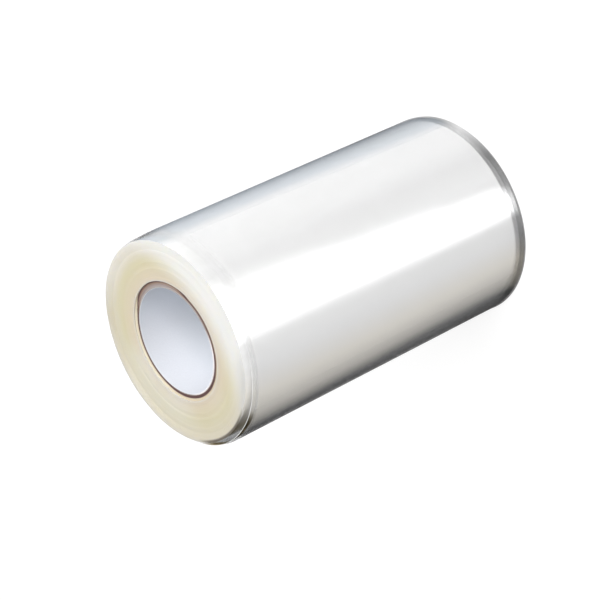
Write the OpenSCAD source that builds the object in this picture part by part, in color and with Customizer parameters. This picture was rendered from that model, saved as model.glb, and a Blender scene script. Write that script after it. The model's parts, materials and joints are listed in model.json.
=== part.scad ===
// Roll of clear cake collar film, wound on a paperboard core and standing on its end.
// The winding is solid film. Its last turns have come loose: they hang off the winding on
// one side and have slipped down over it, so they stand out as a lip at the lower end.

/* [Film] */
// Width of the film
film_w = 100; // [60:1:200]
// Length of film on the roll
film_len = 10000; // [4000:500:20000]
// Thickness of the film
film_t = 0.16; // [0.1:0.01:0.25]
// Share of the winding's section that is film and not air
fill_share = 0.93; // [0.85:0.01:0.98]

/* [Core] */
// Diameter of the bore, inside the paper liner
bore_d = 30; // [20:1:60]
// Thickness of the white paper liner
liner_t = 0.4; // [0.2:0.1:0.8]
// Thickness of one kraft ply
ply_t = 0.4; // [0.3:0.05:0.8]
// Number of kraft plies
ply_count = 4; // [2:1:8]
// How far each second ply stands out at the ends
ply_step = 0.08; // [0:0.01:0.2]
// How far the core is set in from the ends of the film
core_set_in = 0.3; // [0:0.1:1]

/* [Winding] */
// Number of bands of turns that show on the end faces
band_count = 12; // [6:1:16]
// How far the bands stand in and out of the end faces
band_wander = 0.12; // [0:0.01:0.25]
// How far the last band stands up at the upper end
rim_rise = 0.5; // [0.3:0.1:1]

/* [Loose turns] */
// Number of whole loose turns
loose_count = 2; // [1:1:3]
// Angle by which the free tail laps past the place where the loose turns begin
tail_lap = 40; // [10:5:90]
// Direction in which the loose turns begin
start_dir = 20; // [0:5:355]
// Air between two loose turns where they lie close
lay_gap = 0.04; // [0.03:0.01:0.2]
// Widest gap that the loose turns hang off the winding
slack = 1.5; // [0.5:0.1:4]
// Direction in which the loose turns hang off the winding
slack_dir = 145; // [0:5:355]
// How far the inner loose turn has slipped down
slip_inner = 1.15; // [0.5:0.05:3]
// How far the outer loose turn has slipped down
slip_outer = 2.9; // [1:0.05:6]
// How far the end of the free tail lifts
tail_lift = 0.5; // [0:0.1:2]

/* [Hidden] */

// Facets round the winding and the core
round_fn = 96;
// Angle between two rings of points along the loose turns
ring_deg = 4;

// Radii of the core, from the bore outwards
bore_r = bore_d / 2;
liner_r = bore_r + liner_t;
core_r = liner_r + ply_count * ply_t;

// Radius of the winding, from the area of film that is left when the loose turns are off
loose_deg = 360 * loose_count + tail_lap;
loose_span = loose_deg / 360;
half_lost = loose_span * film_t / fill_share;
wound_r = sqrt(half_lost * half_lost + core_r * core_r + film_len * film_t / (PI * fill_share)) - half_lost;

// Heights: the outer loose turn stands on the ground
wound_z = slip_outer;
core_z = wound_z + core_set_in;
core_h = film_w - 2 * core_set_in;

// Bands of turns on the end faces, each set in or out by a wave that never repeats
band_w = (wound_r - core_r) / band_count;
golden_deg = 137.5;
function band_shift(i) = i == band_count - 1 ? rim_rise : band_wander * cos(golden_deg * i);

// Loose turns: the first stretch rises out of the winding's last band
lead_turn = 0.04;
root_depth = 0.25;
root_drop = 0.1;
slip_turn = 0.4;
hang_turn = 0.35;
hang_first = 0.8;
outer_turn = loose_count - 1.05;
outer_run = 0.45;
tail_turn = 0.07;
layer_pitch = film_t + lay_gap;
ring_count = ceil(loose_deg / ring_deg);

function ease(x) = x <= 0 ? 0 : x >= 1 ? 1 : x * x * (3 - 2 * x);
function turn_dir(s) = start_dir + 360 * s;
function lean(s) = (1 + cos(turn_dir(s) - slack_dir)) / 2;
function root_rise(s) = (root_depth + film_t / 2 + lay_gap) * ease(s / lead_turn) - root_depth;
function layer_rise(s) = layer_pitch * max(0, s - lead_turn);
function hang_share(s) = hang_first * ease(s / hang_turn) + (1 - hang_first) * ease((s - outer_turn) / outer_run);
function tail_rise(s) = tail_lift * ease((s - loose_span + tail_turn) / tail_turn);
function turn_r(s) = wound_r + root_rise(s) + layer_rise(s) + slack * hang_share(s) * lean(s) + tail_rise(s);
function slip_first(s) = (slip_inner + rim_rise - root_drop) * ease(s / slip_turn) - rim_rise + root_drop;
function slip(s) = slip_first(s) + (slip_outer - slip_inner) * ease((s - outer_turn) / outer_run);

// One solid of the wound film: a band profile turned round the core, with the loose turns
module film_roll() {
    color([0.93, 0.91, 0.82])
    union() {
        wound_film();
        loose_film();
    }
}

module wound_film() {
    rotate_extrude($fn = round_fn)
    polygon(concat(
        [for (i = [0 : band_count - 1], k = [0, 1]) [core_r + (i + k) * band_w, wound_z + band_shift(i)]],
        [for (i = [band_count - 1 : -1 : 0], k = [1, 0])
            [core_r + (i + k) * band_w, wound_z + film_w + band_shift(i)]]
    ));
}

// A strip of film that runs round the winding as a spiral: four points to a ring,
// inner and outer at the lower edge, then outer and inner at the upper edge
module loose_film() {
    rings = [for (i = [0 : ring_count]) loose_span * i / ring_count];
    points = [for (s = rings) each strip_ring(turn_r(s), turn_dir(s), wound_z - slip(s))];
    last = 4 * ring_count;
    sides = [for (i = [0 : ring_count - 1], j = [0 : 3]) each strip_side(4 * i, j, (j + 1) % 4)];
    polyhedron(points, concat([[3, 2, 1], [3, 1, 0]], sides, [[last, last + 1, last + 2], [last, last + 2, last + 3]]));
}

function strip_ring(r, dir, z) = [
    for (p = [[-1, 0], [1, 0], [1, 1], [-1, 1]])
    [(r + p[0] * film_t / 2) * cos(dir), (r + p[0] * film_t / 2) * sin(dir), z + p[1] * film_w]
];
function strip_side(base, a, b) = [[base + a, base + b, base + 4 + b], [base + a, base + 4 + b, base + 4 + a]];

// Kraft plies wound and glued into one tube, with every second ply a little proud
module core_tube() {
    color([0.60, 0.46, 0.33])
    rotate_extrude($fn = round_fn)
    polygon(concat(
        [for (i = [0 : ply_count - 1], k = [0, 1]) [liner_r + (i + k) * ply_t, core_z + ply_inset(i)]],
        [for (i = [ply_count - 1 : -1 : 0], k = [1, 0])
            [liner_r + (i + k) * ply_t, core_z + core_h - ply_inset(i)]]
    ));
}

function ply_inset(i) = i % 2 == 0 ? ply_step : 0;

// White paper that lines the bore
module core_liner() {
    color([0.93, 0.94, 0.96])
    rotate_extrude($fn = round_fn)
    translate([bore_r, core_z])
    square([liner_t, core_h]);
}

film_roll();
core_tube();
core_liner();
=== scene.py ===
"""Dresses a roll of clear cake collar film that stands on its end.

The winding, its loose outer turns, the kraft core and the paper liner are modelled here turn by
turn and ply by ply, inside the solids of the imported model, and stand in a plain white studio.
"""

import json
import logging
import math
from abc import ABC, abstractmethod
from collections.abc import Callable, Mapping, Sequence
from dataclasses import dataclass, field
from enum import Enum

import bpy
import numpy as np
from mathutils import Matrix, Vector


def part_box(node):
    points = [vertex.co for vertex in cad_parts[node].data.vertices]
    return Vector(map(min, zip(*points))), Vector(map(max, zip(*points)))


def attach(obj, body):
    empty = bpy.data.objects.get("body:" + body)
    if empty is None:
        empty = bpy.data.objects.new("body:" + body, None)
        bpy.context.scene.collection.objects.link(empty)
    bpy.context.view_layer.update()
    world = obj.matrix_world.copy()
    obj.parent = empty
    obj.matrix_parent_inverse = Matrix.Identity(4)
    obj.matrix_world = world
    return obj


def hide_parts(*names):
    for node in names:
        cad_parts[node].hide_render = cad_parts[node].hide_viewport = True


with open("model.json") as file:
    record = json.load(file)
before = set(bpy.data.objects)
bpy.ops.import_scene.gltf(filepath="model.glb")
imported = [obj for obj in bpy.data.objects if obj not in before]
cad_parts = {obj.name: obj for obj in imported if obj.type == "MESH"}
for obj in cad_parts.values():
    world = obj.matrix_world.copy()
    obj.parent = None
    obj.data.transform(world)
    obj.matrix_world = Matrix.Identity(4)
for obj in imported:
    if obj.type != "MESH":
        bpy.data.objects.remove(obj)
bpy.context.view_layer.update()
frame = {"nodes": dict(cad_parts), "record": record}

MM = 0.001
BODY = "root"
LOG = logging.getLogger("collar_film")
FILM_IOR = 1.58

Colour = tuple[float, float, float]
Ring = list[tuple[float, float]]


class Signal:
    """A value on a shader's socket, on which Python's operators add Math nodes."""

    def __init__(self, graph: "Graph", socket: bpy.types.NodeSocket) -> None:
        """Wraps a socket.

        Args:
            graph: The material's graph, which adds the nodes.
            socket: The output that carries the value.
        """
        self.graph = graph
        self.socket = socket

    def _math(self, operation: str, *feeds: "Feed") -> "Signal":
        """Adds one Math node.

        Args:
            operation: Blender's name of the operation.
            feeds: The node's inputs, in order.

        Returns:
            The node's result.
        """
        node = self.graph.add("ShaderNodeMath", {"operation": operation}, dict(enumerate(feeds)))
        return Signal(self.graph, node.outputs[0])

    def __add__(self, other: "Feed") -> "Signal":
        """Returns this value plus another."""
        return self._math("ADD", self, other)

    def __radd__(self, other: "Feed") -> "Signal":
        """Returns another value plus this one."""
        return self._math("ADD", other, self)

    def __sub__(self, other: "Feed") -> "Signal":
        """Returns this value less another."""
        return self._math("SUBTRACT", self, other)

    def __rsub__(self, other: "Feed") -> "Signal":
        """Returns another value less this one."""
        return self._math("SUBTRACT", other, self)

    def __mul__(self, other: "Feed") -> "Signal":
        """Returns this value times another."""
        return self._math("MULTIPLY", self, other)

    def __rmul__(self, other: "Feed") -> "Signal":
        """Returns another value times this one."""
        return self._math("MULTIPLY", other, self)

    def __truediv__(self, other: "Feed") -> "Signal":
        """Returns this value over another."""
        return self._math("DIVIDE", self, other)

    def __pow__(self, other: "Feed") -> "Signal":
        """Returns this value to a power."""
        return self._math("POWER", self, other)

    def bearing(self, across: "Signal") -> "Signal":
        """Returns the angle in radians whose sine side is this value and whose cosine side is across."""
        return self._math("ARCTAN2", self, across)

    def fraction(self) -> "Signal":
        """Returns what is left of this value above the next lower whole number."""
        return self._math("FRACT", self)

    def at_most(self, other: "Feed") -> "Signal":
        """Returns the smaller of this value and another."""
        return self._math("MINIMUM", self, other)

    def ease(self, low: float, high: float) -> "Signal":
        """Turns this value into a smooth step.

        Args:
            low: The value at which the step is 0.
            high: The value at which the step is 1.

        Returns:
            A value from 0 to 1.
        """
        sockets = {"Value": self, "From Min": low, "From Max": high}
        node = self.graph.add("ShaderNodeMapRange", {"interpolation_type": "SMOOTHSTEP"}, sockets)
        return Signal(self.graph, node.outputs["Result"])

    def ramp(self, stops: Sequence[tuple[float, Colour]]) -> "Signal":
        """Turns this value into a colour.

        Args:
            stops: Pairs of a value from 0 to 1 and the colour there.

        Returns:
            The colour.
        """
        node = self.graph.add("ShaderNodeValToRGB", {"stops": stops}, {0: self})
        return Signal(self.graph, node.outputs["Color"])


Feed = Signal | bpy.types.NodeSocket | float | Colour


@dataclass(frozen=True)
class Side:
    """One side of the roll: the direction of its middle, and how far it reaches to either side of that.

    It holds in full up to the first reach and fades out up to the second one, all in degrees.
    """

    heading: float
    full: float
    none: float


class Graph:
    """The node tree of one material or of the world."""

    def __init__(self, tree: bpy.types.NodeTree) -> None:
        """Empties a node tree.

        Args:
            tree: The tree to fill.
        """
        self.tree = tree
        tree.nodes.clear()

    def add(
        self,
        kind: str,
        settings: Mapping[str, object] | None = None,
        sockets: Mapping[str | int, Feed] | None = None,
    ) -> bpy.types.Node:
        """Adds one node.

        Args:
            kind: The node's type.
            settings: Its properties, or the stops of its ramp, which are set first.
            sockets: The values or links of its inputs, by name or by number.

        Returns:
            The new node.
        """
        node = self.tree.nodes.new(kind)
        for name, value in (settings or {}).items():
            if name == "stops":
                self._set_stops(node.color_ramp, value)
            else:
                setattr(node, name, value)
        for key, feed in (sockets or {}).items():
            self._feed(node.inputs[key], feed)
        return node

    def _set_stops(self, ramp: bpy.types.ColorRamp, stops: Sequence[tuple[float, Colour]]) -> None:
        """Gives a ramp its stops.

        Args:
            ramp: The ramp.
            stops: Pairs of a place from 0 to 1 and a colour.
        """
        while len(ramp.elements) < len(stops):
            ramp.elements.new(1.0)
        for element, (place, colour) in zip(ramp.elements, stops):
            element.position = place
            element.color = (*colour, 1.0)

    def _feed(self, socket: bpy.types.NodeSocket, feed: Feed) -> None:
        """Links or sets one input.

        Args:
            socket: The input.
            feed: The value, or what is linked to it.
        """
        if isinstance(feed, Signal):
            self.tree.links.new(feed.socket, socket)
        elif isinstance(feed, bpy.types.NodeSocket):
            self.tree.links.new(feed, socket)
        elif socket.type == "RGBA":
            socket.default_value = (*feed, 1.0)
        else:
            socket.default_value = feed

    def mix(self, low: Feed, high: Feed, share: Feed) -> Signal:
        """Mixes two colours.

        Args:
            low: The colour at share 0.
            high: The colour at share 1.
            share: How much of the second colour there is.

        Returns:
            The mixed colour.
        """
        node = self.add("ShaderNodeMix", {"data_type": "RGBA"}, {0: share, 6: low, 7: high})
        return Signal(self, node.outputs[2])

    def axes(self) -> tuple[Signal, Signal, Signal]:
        """Returns the three coordinates of the point on the piece, in its own frame."""
        place = self.add("ShaderNodeTexCoord").outputs["Object"]
        node = self.add("ShaderNodeSeparateXYZ", None, {0: place})
        return Signal(self, node.outputs[0]), Signal(self, node.outputs[1]), Signal(self, node.outputs[2])

    def polar(self) -> tuple[Signal, Signal, Signal]:
        """Returns the direction in radians, the radius and the height of the point on the piece."""
        x, y, z = self.axes()
        return y.bearing(x), (x * x + y * y) ** 0.5, z

    def uv(self, layer: str) -> tuple[Signal, Signal]:
        """Returns the two values that a UV layer gives the point."""
        place = self.add("ShaderNodeUVMap", {"uv_map": layer}).outputs[0]
        node = self.add("ShaderNodeSeparateXYZ", None, {0: place})
        return Signal(self, node.outputs[0]), Signal(self, node.outputs[1])

    def side(self, side: Side) -> Signal:
        """Picks out one side of the roll.

        Args:
            side: The side.

        Returns:
            A value from 0 off that side to 1 on it.
        """
        x, y, _ = self.axes()
        heading = math.radians(side.heading)
        facing = (x * math.cos(heading) + y * math.sin(heading)) / (x * x + y * y) ** 0.5
        return facing.ease(math.cos(math.radians(side.none)), math.cos(math.radians(side.full)))

    def eye(self) -> Signal:
        """Returns 1 for what is seen, also in mirrors and through glass, and 0 for light's other ways."""
        seen = self.add("ShaderNodeLightPath").outputs
        rays = Signal(self, seen["Is Camera Ray"]) + seen["Is Glossy Ray"] + seen["Is Transmission Ray"]
        return rays.at_most(1.0)

    def noise(self, around: float, along: float, outward: float, detail: float = 2.0) -> Signal:
        """Adds noise in the roll's own directions, which has no seam round the roll.

        Args:
            around: How often it changes over one radian round the roll.
            along: How often it changes over a metre of height.
            outward: How often it changes over a metre of radius.
            detail: How many finer layers it has.

        Returns:
            A value round 0.5.
        """
        x, y, z = self.axes()
        radius = (x * x + y * y) ** 0.5
        parts = {0: x / radius * around, 1: y / radius * around, 2: z * along + radius * outward}
        at = self.add("ShaderNodeCombineXYZ", None, parts).outputs[0]
        sockets = {"Vector": at, "Scale": 1.0, "Detail": detail}
        return Signal(self, self.add("ShaderNodeTexNoise", None, sockets).outputs["Fac"])

    def bump(self, height: Signal, distance: float, strength: float = 1.0) -> Signal:
        """Adds a Bump node.

        Args:
            height: The height of the relief, from 0 to 1.
            distance: How high it stands, in metres.
            strength: How much of it shows.

        Returns:
            The normal.
        """
        sockets = {"Strength": strength, "Distance": distance, "Height": height}
        return Signal(self, self.add("ShaderNodeBump", None, sockets).outputs["Normal"])

    def principled(self, sockets: Mapping[str | int, Feed]) -> bpy.types.NodeSocket:
        """Returns a Principled shader with these inputs."""
        return self.add("ShaderNodeBsdfPrincipled", None, sockets).outputs[0]

    def clear(self, tint: Colour = (1.0, 1.0, 1.0)) -> bpy.types.NodeSocket:
        """Returns a shader that shows what is behind it, through a tint."""
        return self.add("ShaderNodeBsdfTransparent", None, {"Color": tint}).outputs[0]

    def blend(
        self, low: bpy.types.NodeSocket, high: bpy.types.NodeSocket, share: Feed
    ) -> bpy.types.NodeSocket:
        """Mixes two shaders.

        Args:
            low: The shader at share 0.
            high: The shader at share 1.
            share: How much of the second shader there is.

        Returns:
            The mixed shader.
        """
        return self.add("ShaderNodeMixShader", None, {0: share, 1: low, 2: high}).outputs[0]


@dataclass(frozen=True)
class Finish(ABC):
    """What a surface is made of."""

    name: str

    @abstractmethod
    def surface(self, graph: Graph) -> bpy.types.NodeSocket:
        """Builds the finish.

        Args:
            graph: The graph of its material.

        Returns:
            The shader.
        """

    def material(self) -> bpy.types.Material:
        """Returns the finish's material, made once."""
        found = bpy.data.materials.get(self.name)
        if found:
            return found
        made = bpy.data.materials.new(self.name)
        made.use_nodes = True
        graph = Graph(made.node_tree)
        graph.add("ShaderNodeOutputMaterial", None, {"Surface": self.surface(graph)})
        return made


@dataclass(frozen=True)
class StackedFilm(Finish):
    """Many turns of clear film lying on each other, seen from outside: silvery and milky.

    A strip at the upper end lies bare. It is shinier, and on one side a painted shade makes the upper end
    dark and greenish brown, with less metal and coat.
    """

    name: str = "film_stacked"
    milky: Colour = (0.90, 0.90, 0.89)
    silver: Colour = (0.97, 0.97, 0.97)
    # Painted shade: the dark greenish brown of the upper end on one side.
    painted_shade_olive: Colour = (0.34, 0.30, 0.21)
    metallic: float = 0.22
    roughness: float = 0.17
    coat: float = 0.6
    bare_from: float = 99.0 * MM
    bare_to: float = 101.0 * MM
    # Where the painted shade lies: how far below the bare strip it begins, and on which side.
    painted_shade_fade: float = 3.0 * MM
    painted_shade_side: Side = Side(-175.0, 12.0, 28.0)

    def surface(self, graph: Graph) -> bpy.types.NodeSocket:
        """Returns the shader, with soft streaks along the roll, the bare strip and the painted shade on
        one side.
        """
        streaks = graph.noise(around=7.0, along=9.0, outward=0.0, detail=4.0)
        tension = graph.noise(around=26.0, along=4.0, outward=0.0, detail=3.0)
        height = graph.axes()[2]
        bare = height.ease(self.bare_from, self.bare_to)
        plain = graph.mix(self.milky, self.silver, streaks.ease(0.35, 0.65))
        # Painted shade on one side of the upper end: a darker colour, less metal and less coat.
        upper = height.ease(self.bare_from - self.painted_shade_fade, self.bare_from)
        dark = upper * graph.side(self.painted_shade_side)
        return graph.principled({
            "Base Color": graph.mix(plain, self.painted_shade_olive, dark),
            "Metallic": self.metallic + 0.18 * bare - 0.35 * dark,
            "Roughness": (self.roughness + 0.06 * streaks) * (1.0 - 0.5 * bare),
            "IOR": FILM_IOR,
            "Coat Weight": self.coat * (1.0 - 0.9 * dark),
            "Coat Roughness": 0.04,
            "Normal": graph.bump(tension, 0.03 * MM),
        })


@dataclass(frozen=True)
class FilmEnds(Finish):
    """The cut edges of the turns, packed into one cream face that light soaks into.

    One half of the face is whitened by a painted sheen, and on one side a painted highlight makes it
    milky near the core.
    Near the rim one side has a painted glow, and on another painted shade turns it grey and at last dark.
    """

    name: str = "film_ends"
    inner_radius: float = 17.0 * MM
    outer_radius: float = 28.5 * MM
    turn: float = 0.17 * MM
    # milk is the rings' own tone, and also the colour of the painted highlight near the core.
    milk: Colour = (0.77, 0.75, 0.68)
    cloud: Colour = (0.74, 0.71, 0.63)
    # Painted glow near the rim on one side.
    glow: Colour = (0.81, 0.775, 0.70)
    # pale is a painted sheen over one half; grey is painted shade on it near the rim, on one side.
    pale: Colour = (0.84, 0.835, 0.81)
    grey: Colour = (0.64, 0.635, 0.61)
    # Painted dark shade at the rim on one side.
    dark: Colour = (0.10, 0.08, 0.055)
    # Where the half with the painted sheen lies.
    painted_sheen_deg: float = -78.0
    painted_sheen_radius: float = 20.0 * MM
    painted_sheen_from: float = 9.0 * MM
    painted_sheen_to: float = 26.0 * MM
    # Where the painted highlight near the core lies.
    painted_core_highlight_side: Side = Side(120.0, 15.0, 52.0)
    painted_core_highlight_from: float = 21.5 * MM
    painted_core_highlight_to: float = 27.5 * MM
    # Sides of the painted glow, and of the painted grey and dark shade near the rim.
    painted_glow_side: Side = Side(-10.0, 30.0, 72.0)
    painted_grey_shade_side: Side = Side(-150.0, 18.0, 45.0)
    painted_shade_side: Side = Side(-172.0, 14.0, 30.0)
    rim_band: float = 6.0 * MM
    rim_inset: float = 0.5 * MM
    # Band of the painted dark shade at the rim.
    painted_shade_band: float = 1.0 * MM
    painted_shade_inset: float = 0.4 * MM

    def surface(self, graph: Graph) -> bpy.types.NodeSocket:
        """Returns the shader, with fine rings, faint clouds and the painted light and shade of the face's
        sides.
        """
        x, y, _ = graph.axes()
        radius = (x * x + y * y) ** 0.5
        depth = (radius - self.inner_radius) / (self.outer_radius - self.inner_radius)
        tint = depth.ramp([
            (0.00, (0.75, 0.70, 0.60)),
            (0.05, (0.70, 0.60, 0.45)),
            (0.50, (0.65, 0.60, 0.40)),
            (1.00, (0.65, 0.60, 0.50)),
        ])
        # The half of the face that takes the painted sheen.
        heading = math.radians(self.painted_sheen_deg)
        across = x * math.cos(heading) + y * math.sin(heading) + (radius - self.painted_sheen_radius)
        rings = graph.noise(around=0.5, along=0.0, outward=0.35 / self.turn, detail=2.0)
        clouds = graph.noise(around=1.6, along=0.0, outward=160.0, detail=2.0)
        # Painted highlight: one side turns milky near the core, on top of the rings' own tone.
        milky = graph.side(self.painted_core_highlight_side) * (1.0 - 0.8 * radius.ease(self.painted_core_highlight_from, self.painted_core_highlight_to))
        ringed = graph.mix(tint, self.milk, 0.04 * rings.ease(0.35, 0.75) + 0.5 * milky)
        cloudy = graph.mix(ringed, self.cloud, 0.15 * clouds.ease(0.5, 0.8))
        # Band of the painted dark shade at the rim.
        at_rim = radius.ease(self.outer_radius - self.painted_shade_band, self.outer_radius - self.painted_shade_inset)
        near_rim = radius.ease(self.outer_radius - self.rim_band, self.outer_radius - self.rim_inset)
        # Painted glow near the rim on one side.
        with_painted_glow = graph.mix(cloudy, self.glow, near_rim * graph.side(self.painted_glow_side))
        # Painted sheen over one half, greyed near the rim on one side by painted shade.
        with_painted_sheen = graph.mix(self.pale, self.grey, near_rim * graph.side(self.painted_grey_shade_side))
        lit = graph.mix(with_painted_glow, with_painted_sheen, across.ease(self.painted_sheen_from, self.painted_sheen_to))
        return graph.principled({
            # Painted dark shade at the rim on one side.
            "Base Color": graph.mix(lit, self.dark, at_rim * graph.side(self.painted_shade_side)),
            "Roughness": 0.36 + 0.06 * rings,
            "IOR": FILM_IOR,
            "Subsurface Weight": 0.35,
            "Subsurface Radius": (1.0, 0.85, 0.5),
            "Subsurface Scale": 6.0 * MM,
            "Normal": graph.bump(rings, 0.03 * MM, 0.12),
        })


@dataclass(frozen=True)
class ClearFilm(Finish):
    """One loose turn of film: clear when it is faced, a mirror when it is seen at a slant.

    The inner turn is hazier than the outer one, because it still clings to more film. On one side
    the upper edge clings to the winding and shows neither haze nor mirror, and on another a painted
    shade makes the film a dark, dull greenish brown under its upper edge, in what it shows through and
    what it mirrors. Its heights are measured from the winding's foot. The edge band
    is given as places round the strip's section, which has its upper edge at about 0.49.
    """

    name: str = "film_clear"
    mirror_faced: float = 0.08
    slant_power: float = 5.0
    tint: Colour = (0.99, 0.99, 0.99)
    mirror: Colour = (0.97, 0.97, 0.98)
    milk: Colour = (0.93, 0.93, 0.93)
    # Painted shade: the dark colour of the film under its upper edge on one side, and where it lies.
    painted_shade_olive: Colour = (0.45, 0.40, 0.30)
    painted_corner_shade_side: Side = Side(-175.0, 16.0, 30.0)
    painted_corner_shade_from: float = 96.5 * MM
    painted_corner_shade_to: float = 97.5 * MM
    clinging_side: Side = Side(-40.0, 38.0, 62.0)
    edge_band: tuple[float, float, float, float] = (0.450, 0.478, 0.502, 0.530)
    haze: float = 0.34
    haze_turns: float = 1.05
    haze_blur: float = 0.1
    haze_from: float = -0.3 * MM
    haze_full: float = 0.7 * MM
    haze_fades: float = 97.2 * MM
    haze_to: float = 98.8 * MM
    foot: float = 2.9 * MM

    def surface(self, graph: Graph) -> bpy.types.NodeSocket:
        """Returns the shader, which shows what is behind it."""
        tension = graph.noise(around=26.0, along=4.0, outward=0.0, detail=3.0)
        slant = Signal(graph, graph.add("ShaderNodeLayerWeight", None, {"Blend": 0.5}).outputs["Facing"])
        turn, around = graph.uv("strip")
        start, full, last, end = self.edge_band
        near_edge = around.ease(start, full) * (1.0 - around.ease(last, end))
        clinging = near_edge * graph.side(self.clinging_side)
        height = graph.axes()[2] - self.foot
        # Painted shade under the upper edge on one side: it darkens what the film mirrors and shows
        # through, with less mirror and no haze there.
        corner = graph.side(self.painted_corner_shade_side) * height.ease(self.painted_corner_shade_from, self.painted_corner_shade_to)
        sheen = self.mirror_faced + (1.0 - self.mirror_faced) * slant ** self.slant_power
        share = sheen * (1.0 - clinging) * (1.0 - 0.8 * corner)
        mirror = graph.principled({
            "Base Color": graph.mix(self.mirror, self.painted_shade_olive, corner),
            "Metallic": 1.0,
            "Roughness": 0.05 + 0.03 * tension,
            "Normal": graph.bump(tension, 0.02 * MM),
        })
        inner = 1.0 - turn.ease(self.haze_turns - self.haze_blur, self.haze_turns + self.haze_blur)
        over_winding = height.ease(self.haze_from, self.haze_full)
        over_winding = over_winding * (1.0 - height.ease(self.haze_fades, self.haze_to))
        haze = self.haze * inner * over_winding * (1.0 - clinging) * (1.0 - corner)
        milk = graph.principled({"Base Color": self.milk, "Roughness": 0.2, "IOR": FILM_IOR})
        # The painted shade also darkens what shows through.
        clear = graph.blend(graph.clear(self.tint), graph.clear(self.painted_shade_olive), corner)
        return graph.blend(graph.blend(clear, milk, haze), mirror, share)


@dataclass(frozen=True)
class CutEdge(Finish):
    """The cut edge of one turn of film, with a painted highlight on the side where it catches the light.
    """

    name: str = "film_edge"
    dull: Colour = (0.86, 0.88, 0.88)
    bright: Colour = (0.99, 0.99, 0.98)
    # The side of the painted highlight.
    painted_highlight_side: Side = Side(-148.0, 16.0, 42.0)
    upper: float = 50.0 * MM

    def surface(self, graph: Graph) -> bpy.types.NodeSocket:
        """Returns the shader, which a painted highlight makes bright on one side, and clear on the
        others.
        """
        nicks = graph.noise(around=60.0, along=0.0, outward=0.0, detail=2.0)
        white = graph.principled({
            "Base Color": graph.mix(self.dull, self.bright, nicks.ease(0.35, 0.6)),
            "Roughness": 0.25,
            "IOR": FILM_IOR,
            "Coat Weight": 0.5,
        })
        turn, _ = graph.uv("strip")
        upper = graph.axes()[2].ease(self.upper, self.upper + 1.0 * MM)
        # Painted highlight: the edge shows white only on one side at its upper end, fainter on the outer
        # turn.
        lit = graph.side(self.painted_highlight_side) * upper * (1.0 - 0.75 * turn.ease(1.0, 1.1))
        return graph.blend(graph.clear(), white, lit)


@dataclass(frozen=True)
class KraftPly(Finish):
    """Wound kraft board, whose cut plies go from dark inside to pale outside.

    On one side they go from brown to dark instead, and on two the dark ones reach further out.
    """

    name: str = "kraft_plies"
    inner_radius: float = 15.4 * MM
    outer_radius: float = 17.0 * MM
    fibre: Colour = (0.42, 0.31, 0.20)
    brown_side: Side = Side(-6.0, 15.0, 55.0)
    brown_shift: float = 0.78
    brown_room: float = 0.8
    wide_sides: tuple[tuple[float, Side], ...] = (
        (0.4, Side(175.0, 25.0, 55.0)), (0.35, Side(-90.0, 35.0, 65.0)),
    )

    def surface(self, graph: Graph) -> bpy.types.NodeSocket:
        """Returns the shader, ply by ply, with fibres."""
        _, radius, _ = graph.polar()
        depth = (radius - self.inner_radius) / (self.outer_radius - self.inner_radius)
        shift = self.brown_shift * graph.side(self.brown_side)
        spread = 1.0
        for share, side in self.wide_sides:
            spread = spread - share * graph.side(side)
        depth = depth * spread
        plies = ((depth - shift + self.brown_room) / (1.0 + self.brown_room)).ramp([
            (0.00, (0.45, 0.40, 0.40)),
            (0.40, (0.30, 0.20, 0.15)),
            (0.50, (0.10, 0.05, 0.05)),
            (0.60, (0.10, 0.05, 0.05)),
            (0.65, (0.70, 0.60, 0.45)),
            (1.00, (0.85, 0.80, 0.65)),
        ])
        fibres = graph.noise(around=40.0, along=300.0, outward=2500.0, detail=3.0)
        return graph.principled({
            "Base Color": graph.mix(plies, self.fibre, 0.15 * fibres.ease(0.5, 0.75)),
            "Roughness": 0.85,
            "Normal": graph.bump(fibres, 0.06 * MM),
        })


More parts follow.
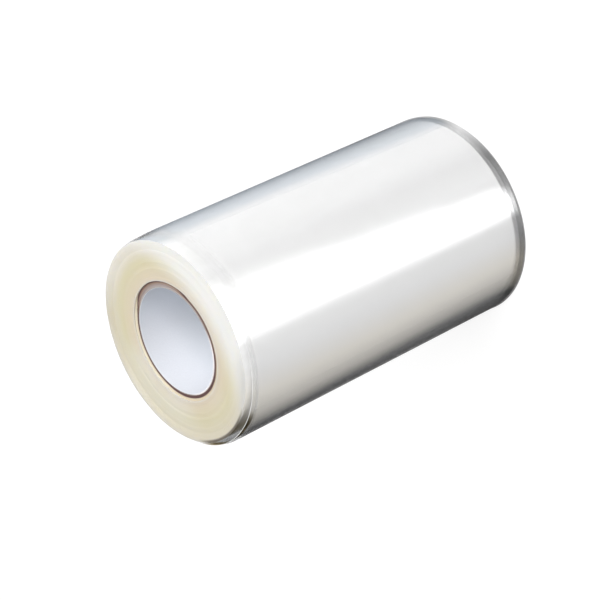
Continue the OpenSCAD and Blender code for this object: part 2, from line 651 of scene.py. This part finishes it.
@dataclass(frozen=True)
class LinerPaper(Finish):
    """White paper, wound in a helix that leaves one fine seam.

    Painted light makes it brighter far down the bore and on one side, and a painted highlight makes its
    cut end and lip bright on another.
    """

    name: str = "liner_paper"
    dull: Colour = (0.73, 0.745, 0.79)
    bright: Colour = (0.76, 0.775, 0.82)
    # Painted light: brighter far down the bore, and on one side.
    painted_depth_light: Colour = (0.86, 0.89, 0.93)
    light: Colour = (0.87, 0.91, 0.98)
    painted_light_side: Side = Side(0.0, 25.0, 75.0)
    seam: Colour = (0.60, 0.60, 0.62)
    end: Colour = (0.40, 0.36, 0.34)
    # Painted highlights on the cut end and the lip, on one side.
    painted_highlight_end: Colour = (1.0, 0.95, 0.96)
    painted_highlight_lip: Colour = (0.99, 0.97, 0.99)
    painted_highlight_side: Side = Side(-145.0, 28.0, 55.0)
    seam_rise: float = 150.0 * MM
    seam_deg: float = -115.0
    seam_top: float = 102.6 * MM
    seam_width: float = 0.004
    seam_lead: float = 3.0
    deep_from: float = 3.0 * MM
    deep_full: float = 25.0 * MM
    lip_from: float = 0.9 * MM
    lip_full: float = 0.4 * MM
    cut_from: float = 0.05 * MM
    cut_full: float = 0.15 * MM
    bore_radius: float = 15.0 * MM

    def surface(self, graph: Graph) -> bpy.types.NodeSocket:
        """Returns the shader, with paper grain, the seam, the cut ends and the painted light."""
        direction, radius, height = graph.polar()
        start = self.seam_deg / 360.0 + self.seam_top / self.seam_rise
        turn = (direction / math.tau + height / self.seam_rise + (self.seam_lead - start)).fraction()
        off_seam = turn.ease(0.0, self.seam_width)
        grain = graph.noise(around=55.0, along=2600.0, outward=0.0, detail=4.0)
        plain = graph.mix(self.dull, self.bright, grain.ease(0.3, 0.7))
        # Painted light: the paper turns brighter far down the bore and on one side.
        painted_depth_light = 1.0 - (height - self.seam_top).ease(-self.deep_full, -self.deep_from)
        with_painted_depth_light = graph.mix(plain, self.painted_depth_light, 0.9 * painted_depth_light)
        paper = graph.mix(with_painted_depth_light, self.light, 0.7 * graph.side(self.painted_light_side))
        wall = graph.mix(self.seam, paper, off_seam)
        cut = radius.ease(self.bore_radius + self.cut_from, self.bore_radius + self.cut_full)
        # Painted highlight on one side: the cut end turns bright, and so does the lip.
        lit = graph.side(self.painted_highlight_side)
        end = graph.mix(self.end, self.painted_highlight_end, lit)
        lip = height.ease(self.seam_top - self.lip_from, self.seam_top - self.lip_full)
        with_painted_lip_highlight = graph.mix(wall, self.painted_highlight_lip, lit * lip)
        return graph.principled({
            "Base Color": graph.mix(with_painted_lip_highlight, end, cut),
            "Roughness": 0.72,
            "Normal": graph.bump(0.25 * grain + 0.75 * off_seam, 0.06 * MM),
        })


@dataclass(frozen=True)
class StudioFloor(Finish):
    """Pale floor that shows white to the eye and still takes a soft shadow."""

    name: str = "studio_floor"
    glow: float = 0.82
    pale: Colour = (0.34, 0.34, 0.34)
    shade: Colour = (0.03, 0.03, 0.03)
    shade_radius: float = 29.8 * MM
    shade_shift: float = 0.75 * MM
    shade_deg: float = 165.0
    shade_fade: float = 0.2 * MM
    gaps: tuple[tuple[float, float], ...] = (
        (-120.0, 0.0), (-100.0, 0.2), (-70.0, 0.1), (-45.0, 0.7), (-30.0, 0.2), (-10.0, 0.0),
    )

    def surface(self, graph: Graph) -> bpy.types.NodeSocket:
        """Returns the shader: the floor is dark under the roll, and less so where light slips in."""
        x, y, _ = graph.axes()
        turn = y.bearing(x) / math.tau + 0.5
        radius = (x * x + y * y) ** 0.5
        lit = turn.ramp([((deg + 180.0) / 360.0, (light, light, light)) for deg, light in self.gaps])
        heading = math.radians(self.shade_deg)
        across = x - self.shade_shift * math.cos(heading)
        along = y - self.shade_shift * math.sin(heading)
        from_shade = (across * across + along * along) ** 0.5
        outside = from_shade.ease(self.shade_radius, self.shade_radius + self.shade_fade)
        open_floor = (outside + lit * (radius * (1.0 / self.shade_radius)) ** 3.0).at_most(1.0)
        glow = graph.add("ShaderNodeEmission", None, {"Strength": self.glow * graph.eye() * open_floor})
        colour = graph.mix(self.shade, self.pale, open_floor)
        board = graph.add("ShaderNodeBsdfDiffuse", None, {"Color": colour})
        both = graph.add("ShaderNodeAddShader", None, {0: board.outputs[0], 1: glow.outputs[0]})
        behind = graph.add("ShaderNodeNewGeometry").outputs["Backfacing"]
        return graph.blend(both.outputs[0], graph.clear(), behind)


@dataclass(frozen=True)
class CardPaint(Finish):
    """The shades of the studio's reflector fan, from one side of the roll to the other."""

    name: str = "card_paint"
    strength: float = 1.5
    panels: tuple[tuple[float, Colour], ...] = ()

    def surface(self, graph: Graph) -> bpy.types.NodeSocket:
        """Returns the shader, which reads how far round the fan the point is."""
        across, _ = graph.uv("fan")
        sockets = {"Color": across.ramp(self.panels), "Strength": self.strength}
        return graph.add("ShaderNodeEmission", None, sockets).outputs[0]


@dataclass(frozen=True)
class SoftboxCloth(Finish):
    """The lit cloth of a softbox, which fades at its edges."""

    name: str = "softbox_cloth"
    strength: float = 4.5
    first_fade: float = 0.35
    last_fade: float = 0.55

    def surface(self, graph: Graph) -> bpy.types.NodeSocket:
        """Returns the shader, which shows nothing at the cloth's two sides."""
        across, _ = graph.uv("fan")
        lit = across.ease(0.0, self.first_fade) * (1.0 - across).ease(0.0, self.last_fade)
        cloth = graph.add("ShaderNodeEmission", None, {"Strength": self.strength})
        return graph.blend(graph.clear(), cloth.outputs[0], lit)


def farthest(node: str, low: float, high: float) -> float:
    """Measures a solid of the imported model.

    Args:
        node: The solid's name.
        low: The lowest height that counts.
        high: The highest height that counts.

    Returns:
        The greatest distance from the roll's axis of a corner between those heights.
    """
    corners = [v.co for v in frame["nodes"][node].data.vertices]
    return max(math.hypot(c.x, c.y) for c in corners if low <= c.z <= high)


def ease(x: float) -> float:
    """Returns the smooth step from 0 at 0 to 1 at 1."""
    held = min(max(x, 0.0), 1.0)
    return held * held * (3.0 - 2.0 * held)


def rounded_end(inner: float, outer: float, level: float, drop: float, cut: float) -> Ring:
    """Draws the end of a thin wall, with both of its corners rounded.

    Args:
        inner: The wall's inner radius.
        outer: Its outer radius.
        level: The height of the end.
        drop: How far from the end and from each side the rounding begins.
        cut: The share of that by which the middle of the rounding lies in from the corner.

    Returns:
        Radius and height of each point, with heights that grow into the wall.
    """
    return [
        (inner, level + drop),
        (inner + cut * drop, level + cut * drop),
        (inner + drop, level),
        (outer - drop, level),
        (outer - cut * drop, level + cut * drop),
        (outer, level + drop),
    ]


@dataclass
class Shape:
    """The points and faces of a mesh, with the slot of each face."""

    points: list[tuple[float, float, float]] = field(default_factory=list)
    faces: list[tuple[int, ...]] = field(default_factory=list)
    slots: list[int] = field(default_factory=list)

    def face(self, corners: Sequence[int], slot: int) -> None:
        """Adds one face with the slot of its finish."""
        self.faces.append(tuple(corners))
        self.slots.append(slot)

    def build(self, name: str, finishes: Sequence[Finish], crease: float = 35.0) -> bpy.types.Object:
        """Makes the object.

        Args:
            name: Its name.
            finishes: The finishes that the slots stand for.
            crease: The angle in degrees from which an edge stays sharp.

        Returns:
            The object, in the scene.
        """
        mesh = bpy.data.meshes.new(name)
        mesh.from_pydata(self.points, [], self.faces)
        mesh.polygons.foreach_set("material_index", self.slots)
        mesh.polygons.foreach_set("use_smooth", [True] * len(self.faces))
        mesh.set_sharp_from_angle(angle=math.radians(crease))
        for finish in finishes:
            mesh.materials.append(finish.material())
        mesh.update()
        made = bpy.data.objects.new(name, mesh)
        bpy.context.scene.collection.objects.link(made)
        return made


def turned(
    profile: Sequence[tuple[float, float]],
    slots: Sequence[int],
    steps: int,
    shift: Callable[[int, float], tuple[float, float]],
) -> Shape:
    """Turns a closed profile round the roll's axis.

    Args:
        profile: Radius and height of each point, anticlockwise with the radius to the right.
        slots: The finish of the stretch that starts at each point.
        steps: How many steps the turn has.
        shift: Gives the change of radius and height of a point of the profile at a direction.

    Returns:
        The closed shape.
    """
    shape = Shape()
    count = len(profile)
    for step in range(steps):
        direction = math.tau * step / steps
        for index, (radius, height) in enumerate(profile):
            outward, upward = shift(index, direction)
            reach = radius + outward
            x, y = reach * math.cos(direction), reach * math.sin(direction)
            shape.points.append((x, y, height + upward))
    for step in range(steps):
        here, there = count * step, count * ((step + 1) % steps)
        for index in range(count):
            after = (index + 1) % count
            shape.face((here + index, there + index, there + after, here + after), slots[index])
    return shape


@dataclass
class FilmSizes:
    """The sizes of the film that the winding and the loose turns share, in metres and radians."""

    width: float = 100.0 * MM
    thickness: float = 0.16 * MM
    rim_rise: float = 0.5 * MM
    wave_depth: float = 0.12 * MM
    wave_counts: tuple[int, ...] = (5, 8, 13, 21)
    wave_start: float = 1.7
    wave_twist: float = 1.2
    height_slack: float = 0.05 * MM
    top: float = field(init=False)
    wound_radius: float = field(init=False)

    def __post_init__(self) -> None:
        """Reads the winding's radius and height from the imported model."""
        _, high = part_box("film_roll")
        self.top = high.z - self.rim_rise
        self.wound_radius = farthest("film_roll", high.z - self.height_slack, high.z + self.height_slack)

    @property
    def foot(self) -> float:
        """The height of the winding's lower end."""
        return self.top - self.width

    def wave(self, direction: float, height: float) -> float:
        """Works out the slight waves that uneven tension leaves in the film.

        Args:
            direction: The direction from the axis, in radians.
            height: The height on the roll.

        Returns:
            How far the film lies outside its round.
        """
        along = height / self.width
        wave = 0.0
        for index, count in enumerate(self.wave_counts):
            phase = self.wave_start * index + (index - self.wave_twist) * along
            wave += self.wave_depth / count * math.sin(count * direction + phase)
        return wave


@dataclass
class Winding:
    """The wound film: a round of turns whose edges make up the two end faces."""

    film: FilmSizes
    fill_share: float = 0.93
    band_count: int = 12
    band_wander: float = 0.02 * MM
    golden_deg: float = 137.5
    rim_lead: float = 2.0
    rim_run: float = 2.6
    groove: float = 0.006 * MM
    groove_share: float = 0.3
    edge_jitter: float = 0.004 * MM
    edge_sway: float = 0.4
    bare_from: float = 4.9 * MM
    bare_to: float = 3.4 * MM
    side_rows: int = 24
    side_inset: float = 0.2
    steps: int = 180
    crease_deg: float = 50.0
    seed: int = 11

    def band_shift(self, share: float, rise: float) -> float:
        """Works out how far the turns stand in or out of the end faces.

        Args:
            share: Where the turn lies, from 0 at the core to 1 at the outermost turn.
            rise: How far the outermost turns stand up.

        Returns:
            The shift, which goes smoothly from one band to the next and rises to the rim.
        """
        last = self.band_count - 1
        rim = ease((share * self.band_count - last + self.rim_lead) / self.rim_run)
        place = min(max(share * self.band_count - 0.5, 0.0), last - 1.0)
        below = int(place)
        shifts = [
            self.band_wander * math.cos(math.radians(self.golden_deg * index))
            for index in (below, min(below + 1, last - 1))
        ]
        level = shifts[0] + (shifts[1] - shifts[0]) * ease(place - below)
        return level + (rise - level) * rim

    def end_profile(
        self, core_radius: float, rng: np.random.Generator, inward: float, rise: float
    ) -> Ring:
        """Draws one end face from the core outwards: each turn is a low ridge between two grooves.

        Args:
            core_radius: The radius of the core.
            rng: The source of the small differences between turns.
            inward: The way into the winding, 1 for up and -1 for down.
            rise: How far the outermost turns stand up.

        Returns:
            Radius and height over the face's plane of each point.
        """
        depth = self.film.wound_radius - core_radius
        turns = round(depth * self.fill_share / self.film.thickness)
        pitch = depth / turns
        points: Ring = [(core_radius, self.band_shift(0.0, rise))]
        for turn in range(turns):
            level = self.band_shift((turn + 0.5) / turns, rise)
            level += float(rng.uniform(-self.edge_jitter, self.edge_jitter))
            inner = core_radius + (turn + self.groove_share / 2) * pitch
            outer = core_radius + (turn + 1 - self.groove_share / 2) * pitch
            points += [(inner, level), (outer, level)]
            if turn < turns - 1:
                points.append((core_radius + (turn + 1) * pitch, level + inward * self.groove))
        return points

    def build(self, core_radius: float) -> bpy.types.Object:
        """Models the winding.

        Args:
            core_radius: The radius of the core that it is wound on.

        Returns:
            The piece.
        """
        rng = np.random.default_rng(self.seed)
        film = self.film
        upper = [(r, film.top + z) for r, z in self.end_profile(core_radius, rng, -1.0, film.rim_rise)]
        lower = [(r, film.foot + z) for r, z in self.end_profile(core_radius, rng, 1.0, 0.0)]
        rows = self.side_rows
        row_height = (film.width + film.rim_rise) / (rows - 1 + 2.0 * self.side_inset)
        heights = [film.foot + row_height * (row + self.side_inset) for row in range(rows)]
        side = [(film.wound_radius, height) for height in heights]
        profile = lower + side + upper[::-1]
        slots = [1] * (len(lower) - 1) + [0] * (rows + 1) + [1] * (len(upper) - 1) + [1]
        sway = rng.uniform(0.0, math.tau, len(profile))

        def shift(index: int, direction: float) -> tuple[float, float]:
            """Returns the wave of the side, or the slow rise and fall of an edge."""
            radius, height = profile[index]
            if len(lower) <= index < len(lower) + rows:
                return film.wave(direction, height), 0.0
            wander = self.edge_sway * self.edge_jitter * math.sin(2.0 * direction + sway[index])
            share = ease((radius - core_radius) / (film.wound_radius - core_radius))
            return share * film.wave(direction, height), wander

        shape = turned(profile, slots, self.steps, shift)
        silvery = StackedFilm(bare_from=film.top - self.bare_from, bare_to=film.top - self.bare_to)
        cream = FilmEnds(inner_radius=core_radius, outer_radius=film.wound_radius)
        piece = shape.build("wound_film", [silvery, cream], crease=self.crease_deg)
        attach(piece, BODY)
        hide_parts("film_roll")
        return piece


@dataclass
class LooseTurns:
    """The last turns of film, which hang off the winding and have slipped down over it."""

    film: FilmSizes
    loose_count: int = 2
    tail_lap_deg: float = 40.0
    start_deg: float = 20.0
    lay_gap: float = 0.04 * MM
    slack: float = 1.5 * MM
    slack_deg: float = 145.0
    slip_inner: float = 1.15 * MM
    slip_outer: float = 2.9 * MM
    tail_lift: float = 0.5 * MM
    lead_turn: float = 0.04
    root_depth: float = 0.25 * MM
    root_drop: float = 0.1 * MM
    slip_turn: float = 0.4
    hang_turn: float = 0.35
    hang_first: float = 0.8
    outer_lead: float = 1.05
    outer_run: float = 0.45
    tail_turn: float = 0.07
    ring_deg: float = 2.0
    rows: int = 24

    @property
    def span(self) -> float:
        """How many turns the loose film makes."""
        return self.loose_count + self.tail_lap_deg / 360.0

    @property
    def outer_turn(self) -> float:
        """Where, in turns, the film begins to slip to its lowest."""
        return self.loose_count - self.outer_lead

    def direction(self, turn: float) -> float:
        """Returns the direction from the axis, in radians, at a place along the film."""
        return math.radians(self.start_deg + 360.0 * turn)

    def lean(self, turn: float) -> float:
        """Returns how much of the slack shows in a direction, from 0 to 1."""
        return (1.0 + math.cos(self.direction(turn) - math.radians(self.slack_deg))) / 2.0

    def radius(self, turn: float) -> float:
        """Returns the radius of the middle of the film at a place along it."""
        film = self.film
        settled = self.root_depth + film.thickness / 2.0 + self.lay_gap
        root = settled * ease(turn / self.lead_turn) - self.root_depth
        layers = (film.thickness + self.lay_gap) * max(0.0, turn - self.lead_turn)
        late = ease((turn - self.outer_turn) / self.outer_run)
        hang = self.hang_first * ease(turn / self.hang_turn) + (1.0 - self.hang_first) * late
        tail = self.tail_lift * ease((turn - self.span + self.tail_turn) / self.tail_turn)
        return film.wound_radius + root + layers + self.slack * hang * self.lean(turn) + tail

    def slip(self, turn: float) -> float:
        """Returns how far the film has slipped down at a place along it."""
        start = self.root_drop - self.film.rim_rise
        first = (self.slip_inner - start) * ease(turn / self.slip_turn) + start
        late = ease((turn - self.outer_turn) / self.outer_run)
        return first + (self.slip_outer - self.slip_inner) * late

    def build(self) -> bpy.types.Object:
        """Models the loose turns as one closed strip, and returns the piece."""
        film, rows = self.film, self.rows
        count = math.ceil(self.span * 360.0 / self.ring_deg)
        shape = Shape()
        for ring in range(count + 1):
            turn = self.span * ring / count
            direction, radius = self.direction(turn), self.radius(turn)
            low = film.foot - self.slip(turn)
            heights = [low + film.width * row / rows for row in range(rows + 1)]
            outer = [(film.thickness / 2.0, z) for z in heights]
            inner = [(-film.thickness / 2.0, z) for z in reversed(heights)]
            for offset, height in outer + inner:
                reach = radius + offset + film.wave(direction, height)
                shape.points.append((reach * math.cos(direction), reach * math.sin(direction), height))
        loop = 2 * (rows + 1)
        edges = (rows, loop - 1)
        for ring in range(count):
            for index in range(loop):
                after = (index + 1) % loop
                here, there = ring * loop, (ring + 1) * loop
                slot = 1 if index in edges else 0
                shape.face((here + index, there + index, there + after, here + after), slot)
        for base, flip in ((0, False), (count * loop, True)):
            for row in range(rows):
                outer_row, inner_row = base + row, base + loop - 1 - row
                corners = [outer_row, outer_row + 1, inner_row - 1, inner_row]
                shape.face(corners[::-1] if flip else corners, 1)
        piece = shape.build("loose_wraps", [ClearFilm(foot=film.foot), CutEdge()])
        layer = piece.data.uv_layers.new(name="strip")
        for corner in piece.data.loops:
            ring, place = divmod(corner.vertex_index, loop)
            layer.data[corner.index].uv = (self.span * ring / count, place / loop)
        piece.visible_diffuse = piece.visible_shadow = False
        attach(piece, BODY)
        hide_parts("film_roll")
        return piece


@dataclass
class Core:
    """The kraft tube that the film is wound on, and the white paper that lines it."""

    ply_count: int = 4
    ply_step: float = 0.08 * MM
    ply_round: float = 0.09 * MM
    ply_cut: float = 0.35
    fray: float = 0.03 * MM
    fray_counts: tuple[int, ...] = (3, 11, 29)
    liner_round: float = 0.1 * MM
    liner_cut: float = 0.3
    steps: int = 144
    crease_deg: float = 60.0
    seed: int = 5
    bore_radius: float = field(init=False)
    liner_radius: float = field(init=False)
    radius: float = field(init=False)
    low: float = field(init=False)
    high: float = field(init=False)

    def __post_init__(self) -> None:
        """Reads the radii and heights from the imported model."""
        low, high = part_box("core_tube")
        self.low, self.high = low.z, high.z
        self.radius = farthest("core_tube", low.z, high.z)
        self.liner_radius = farthest("core_liner", low.z, high.z)
        bores = [m for m in frame["record"]["mounts"] if m["kind"] == "bore"]
        self.bore_radius = bores[0]["dims"]["r_mm"] * MM

    def tube(self) -> bpy.types.Object:
        """Models the kraft tube ply by ply, and returns the piece."""
        rng = np.random.default_rng(self.seed)
        ply = (self.radius - self.liner_radius) / self.ply_count
        end: Ring = []
        for index in range(self.ply_count):
            inner, outer = self.liner_radius + index * ply, self.liner_radius + (index + 1) * ply
            inset = self.ply_step if index % 2 == 0 else 0.0
            end += rounded_end(inner, outer, inset, self.ply_round, self.ply_cut)
        upper = [(r, self.high - z) for r, z in reversed(end)]
        lower = [(r, self.low + z) for r, z in end]
        profile = lower + upper
        counts = self.fray_counts
        phase = rng.uniform(0.0, math.tau, (len(profile), len(counts)))

        def shift(index: int, direction: float) -> tuple[float, float]:
            """Returns the slight unevenness of a cut ply."""
            sign = -1.0 if index >= len(lower) else 1.0
            waves = [math.sin(n * direction + phase[index][k]) for k, n in enumerate(counts)]
            return 0.0, sign * self.fray * (0.5 + 0.5 * sum(waves) / len(counts))

        shape = turned(profile, [0] * len(profile), self.steps, shift)
        finish = KraftPly(inner_radius=self.liner_radius, outer_radius=self.radius)
        piece = shape.build("kraft_core", [finish], crease=self.crease_deg)
        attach(piece, BODY)
        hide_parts("core_tube")
        return piece

    def liner(self) -> bpy.types.Object:
        """Models the paper liner, and returns the piece."""
        lower = rounded_end(
            self.bore_radius, self.liner_radius, self.low, self.liner_round, self.liner_cut
        )
        profile = lower + [(r, self.low + self.high - z) for r, z in reversed(lower)]
        shape = turned(profile, [0] * len(profile), self.steps, lambda index, direction: (0.0, 0.0))
        finish = LinerPaper(seam_top=self.high, bore_radius=self.bore_radius)
        piece = shape.build("paper_liner", [finish], crease=self.crease_deg)
        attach(piece, BODY)
        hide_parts("core_liner")
        return piece


class LampRole(Enum):
    """What a lamp does in the studio."""

    KEY = "key"
    TOP = "top"


@dataclass
class Lamp:
    """One soft lamp that looks at the roll."""

    role: LampRole
    bearing_deg: float
    elevation_deg: float
    distance: float
    side: float
    level: float

    def build(self, target: Vector) -> bpy.types.Object:
        """Hangs the lamp.

        Args:
            target: The point that it looks at.

        Returns:
            The lamp.
        """
        data = bpy.data.lights.new(f"lamp_{self.role.value}", "AREA")
        data.shape = "SQUARE"
        data.size = self.side
        data.energy = self.level * (math.pi * self.distance) ** 2
        lamp = bpy.data.objects.new(data.name, data)
        bearing, elevation = math.radians(self.bearing_deg), math.radians(self.elevation_deg)
        away = Vector((
            math.cos(bearing) * math.cos(elevation),
            math.sin(bearing) * math.cos(elevation),
            math.sin(elevation),
        ))
        lamp.location = target + self.distance * away
        lamp.rotation_mode = "QUATERNION"
        lamp.rotation_quaternion = away.to_track_quat("Z", "Y")
        bpy.context.scene.collection.objects.link(lamp)
        return lamp


@dataclass(frozen=True)
class CardEdge:
    """How wide a reflector card is at one distance, as directions on the side that mirrors it.

    The painted share says how much of the paint's whole range the card shows at that distance.
    """

    reach: float
    first_deg: float
    last_deg: float
    painted: float = 1.0


@dataclass
class Studio:
    """The floor, the cards that the film mirrors, the lamps, the world and the camera."""

    film: FilmSizes
    floor_half: float = 4.0
    shade_margin: float = 1.15 * MM
    loose_depth: float = 0.8 * MM
    card_reaches: tuple[float, ...] = (0.2 * MM, 25.0 * MM, 75.0 * MM, 125.0 * MM, 170.0 * MM, 420.0 * MM)
    card_columns: int = 88
    fan_lift: float = 0.2 * MM
    fan_from_deg: float = -183.0
    fan_to_deg: float = 1.0
    fan_painted: tuple[float, ...] = (1.02, 1.0, 0.94, 0.91, 0.91, 0.91)
    softbox_from_deg: float = -109.0
    softbox_to_deg: float = -87.5
    softbox_flare_deg: float = 18.5
    softbox_flare: tuple[float, ...] = (0.0, 0.25, 0.6, 1.0, 1.0, 1.0)
    world_fill: float = 0.28
    eye: tuple[float, float, float] = (0.59 * MM, -501.21 * MM, 415.17 * MM)
    eye_right: tuple[float, float, float] = (-0.42729, -0.52475, -0.73625)
    eye_up: tuple[float, float, float] = (0.90408, -0.24076, -0.35309)
    focal_px: float = 2244.6
    image_px: int = 600
    sensor_mm: float = 36.0
    clip_near: float = 0.01
    clip_far: float = 20.0
    clear_layers: int = 32

    def floor(self) -> bpy.types.Object:
        """Lays the floor, and returns it."""
        half = self.floor_half
        shape = Shape([(-half, -half, 0.0), (half, -half, 0.0), (half, half, 0.0), (-half, half, 0.0)])
        shape.face((0, 1, 2, 3), 0)
        finish = StudioFloor(shade_radius=self.film.wound_radius + self.shade_margin)
        made = shape.build("floor", [finish])
        return made

    def mirrored(self, side_deg: float, reach: float) -> tuple[float, float]:
        """Finds where on the floor a stretch of the roll's side looks, as the eye sees it.

        Args:
            side_deg: The direction of that stretch from the axis.
            reach: How far from the side the place lies.

        Returns:
            The place on the floor.
        """
        side, away = math.radians(side_deg), math.radians(2.0 * side_deg + 90.0)
        radius = self.film.wound_radius + self.loose_depth
        return (
            radius * math.cos(side) + reach * math.cos(away),
            radius * math.sin(side) + reach * math.sin(away),
        )

    def card(
        self, name: str, finish: Finish, lift: float, edges: Sequence[CardEdge]
    ) -> bpy.types.Object:
        """Lays one card round the roll that only mirrors show.

        Args:
            name: Its name.
            finish: Its finish.
            lift: Its height over the floor.
            edges: Where its two sides lie, row by row.

        Returns:
            The card.
        """
        shape = Shape()
        rows, columns = len(edges), self.card_columns
        across: list[float] = []
        for column in range(columns + 1):
            share = column / columns
            for edge in edges:
                side_deg = edge.first_deg + (edge.last_deg - edge.first_deg) * share
                shape.points.append((*self.mirrored(side_deg, edge.reach), lift))
                across.append(0.5 + (share - 0.5) * edge.painted)
        for column in range(columns):
            for row in range(rows - 1):
                first = column * rows + row
                shape.face((first, first + 1, first + rows + 1, first + rows), 0)
        made = shape.build(name, [finish])
        layer = made.data.uv_layers.new(name="fan")
        for loop in made.data.loops:
            layer.data[loop.index].uv = (across[loop.vertex_index], 0.0)
        for hidden in ("camera", "diffuse", "transmission", "volume_scatter", "shadow"):
            setattr(made, f"visible_{hidden}", False)
        made.active_material.cycles.emission_sampling = "NONE"
        return made

    @staticmethod
    def stops(shades: Sequence[tuple[float, Colour]]) -> tuple[tuple[float, Colour], ...]:
        """Turns shades at directions in degrees into a ramp's stops from 0 to 1."""
        first, last = shades[0][0], shades[-1][0]
        return tuple(((deg - first) / (last - first), colour) for deg, colour in shades)

    def cards(self) -> list[bpy.types.Object]:
        """Lays the shaded fan and the softbox in front, and returns them."""
        black, grey, white = (0.05, 0.05, 0.05), (0.6, 0.6, 0.6), (0.8, 0.8, 0.8)
        warm, cool = (0.8, 0.75, 0.65), (0.45, 0.5, 0.55)
        panels = (
            (-190.0, black), (-160.0, black), (-135.0, warm), (-120.0, white), (-80.0, white),
            (-65.0, grey), (-50.0, white), (-35.0, white), (-25.0, cool), (10.0, black),
        )
        whole = [
            CardEdge(reach, self.fan_from_deg, self.fan_to_deg, painted)
            for reach, painted in zip(self.card_reaches, self.fan_painted)
        ]
        paint = CardPaint(panels=self.stops(panels))
        fan = self.card("card_fan", paint, self.fan_lift, whole)
        front = [
            CardEdge(reach, self.softbox_from_deg, self.softbox_to_deg + self.softbox_flare_deg * share)
            for reach, share in zip(self.card_reaches, self.softbox_flare)
        ]
        softbox = self.card("card_softbox", SoftboxCloth(), 2.0 * self.fan_lift, front)
        return [fan, softbox]

    def lamps(self) -> list[bpy.types.Object]:
        """Hangs the lamps, and returns them."""
        middle = Vector((0.0, 0.0, self.film.top / 2.0))
        plan = [
            Lamp(LampRole.KEY, bearing_deg=-62.0, elevation_deg=40.0, distance=1.0, side=0.7, level=0.80),
            Lamp(LampRole.TOP, bearing_deg=0.0, elevation_deg=64.0, distance=1.0, side=0.6, level=0.35),
        ]
        return [lamp.build(middle) for lamp in plan]

    def world(self) -> None:
        """Sets the world: white to the eye and to mirrors, and a plain fill for the rest."""
        world = bpy.data.worlds.new("studio")
        world.use_nodes = True
        graph = Graph(world.node_tree)
        strength = self.world_fill + (1.0 - self.world_fill) * graph.eye()
        sky = graph.add("ShaderNodeBackground", None, {"Color": (1.0, 1.0, 1.0), "Strength": strength})
        graph.add("ShaderNodeOutputWorld", None, {"Surface": sky.outputs[0]})
        bpy.context.scene.world = world

    def camera(self) -> bpy.types.Object:
        """Sets the camera at the photograph's view of the roll, and returns it."""
        data = bpy.data.cameras.new("camera")
        data.sensor_width = self.sensor_mm
        data.lens = self.focal_px * self.sensor_mm / self.image_px
        data.clip_start, data.clip_end = self.clip_near, self.clip_far
        eye = bpy.data.objects.new("camera", data)
        right = Vector(self.eye_right).normalized()
        back = right.cross(Vector(self.eye_up)).normalized()
        up = back.cross(right)
        turn = Matrix((right, up, back)).transposed()
        eye.matrix_world = Matrix.Translation(Vector(self.eye)) @ turn.to_4x4()
        bpy.context.scene.collection.objects.link(eye)
        bpy.context.scene.camera = eye
        return eye

    def build(self) -> None:
        """Sets up the whole studio."""
        self.camera()
        self.world()
        self.floor()
        self.cards()
        self.lamps()
        scene = bpy.context.scene
        scene.view_settings.view_transform = "Standard"
        scene.cycles.transparent_max_bounces = self.clear_layers


def report(piece: bpy.types.Object) -> None:
    """Reports one piece.

    Args:
        piece: The piece.
    """
    sizes = " x ".join(f"{side / MM:.1f}" for side in piece.dimensions)
    LOG.info("%s: %d faces, %s mm", piece.name, len(piece.data.polygons), sizes)


def main() -> None:
    """Builds the studio and the roll in order."""
    logging.basicConfig(level=logging.INFO, format="%(message)s")
    film = FilmSizes()
    Studio(film).build()
    core = Core()
    report(core.liner())
    report(core.tube())
    report(Winding(film).build(core.radius))
    report(LooseTurns(film).build())
    bpy.context.view_layer.update()


if __name__ == "__main__":
    main()
